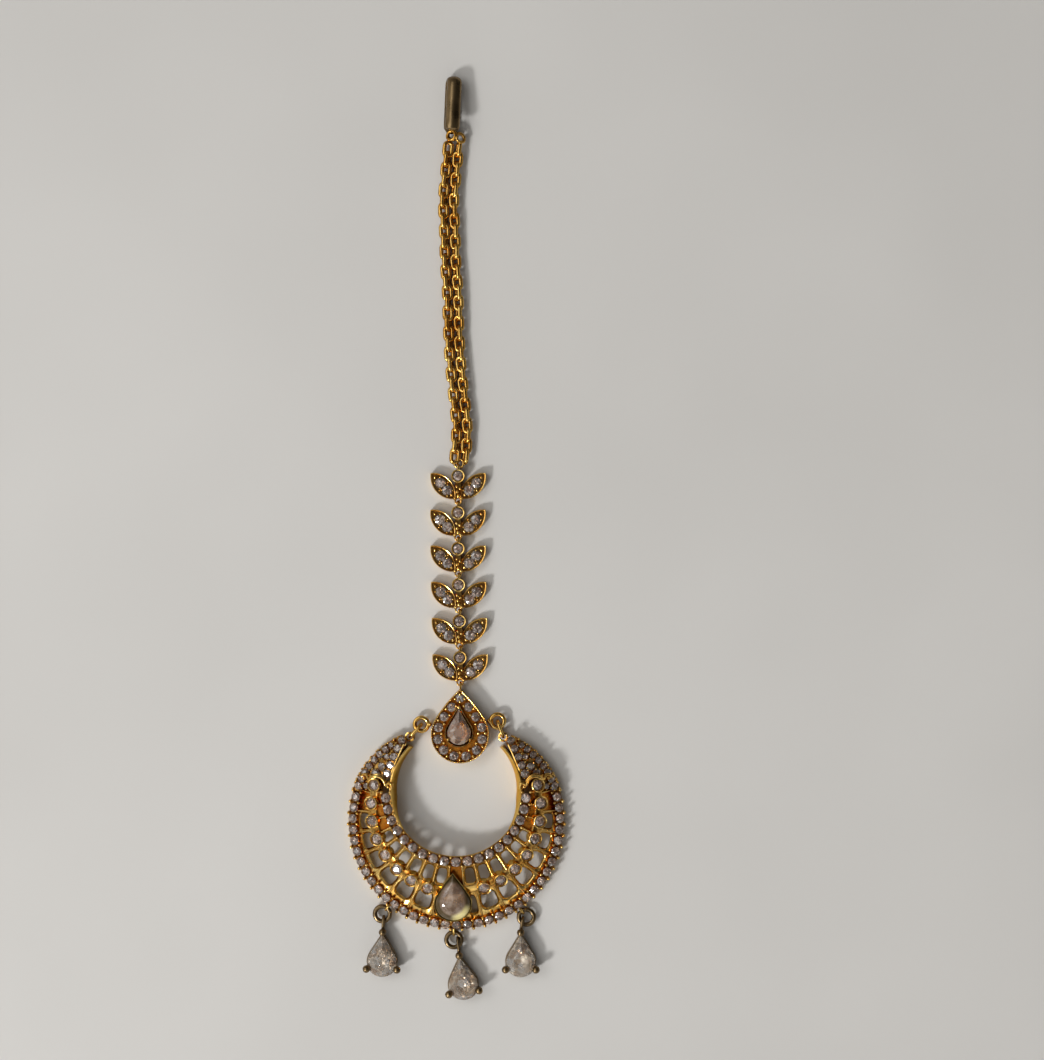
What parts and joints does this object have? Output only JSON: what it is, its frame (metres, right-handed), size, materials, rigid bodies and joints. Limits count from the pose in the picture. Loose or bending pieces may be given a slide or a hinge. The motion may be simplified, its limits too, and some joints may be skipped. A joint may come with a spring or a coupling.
{
  "type": "maang tikka",
  "caption": "Forehead jewel: a hair hook and two-strand chain, leaf links, a teardrop cluster, and a stone-set crescent frame with pear drops.",
  "frame": {"origin": "bottom centre of the jewel's box, on the surface that it lies on", "axes": "+X to the jewel's right, +Y towards the hair hook, +Z off the surface, towards its front"},
  "size_m": [0.0358, 0.152, 0.0054],
  "materials": {
    "gold_plate": "polished yellow gold plate, orange-brown in its recesses",
    "gold_chain": "polished yellow gold plate, a fine cable chain's links",
    "aged_brass": "tarnished, olive-brown antique brass with bare worn edges",
    "clear_crystal": "faceted clear stones with a grey-mauve cast",
    "smoky_crystal": "faceted pale smoky stone",
    "smoky_cabochon": "smooth domed smoky grey-brown stone",
    "milky_crystal": "faceted milky pale grey-pink stone, slightly frosted"
  },
  "bodies": {
    "root": {"hair_hook": "aged_brass", "hook_ring": "gold_plate", "chain_left_strand": "gold_chain", "chain_right_strand": "gold_chain", "chain_end_ring": "gold_plate", "leaf_link_1": "gold_plate", "leaf_link_2": "gold_plate", "leaf_link_3": "gold_plate", "leaf_link_4": "gold_plate", "leaf_link_5": "gold_plate", "leaf_link_6": "gold_plate", "halo_setting": "gold_plate", "halo_stone": "smoky_crystal", "side_link_left": "gold_plate", "side_link_right": "gold_plate", "crescent_frame": "gold_plate", "cabochon_stone": "smoky_cabochon", "drop_ring_1": "aged_brass", "drop_ring_2": "aged_brass", "drop_ring_3": "aged_brass", "drop_setting_1": "aged_brass", "drop_setting_2": "aged_brass", "drop_setting_3": "aged_brass", "drop_stone_1": "milky_crystal", "drop_stone_2": "milky_crystal", "drop_stone_3": "milky_crystal"}
  },
  "joints": []
}
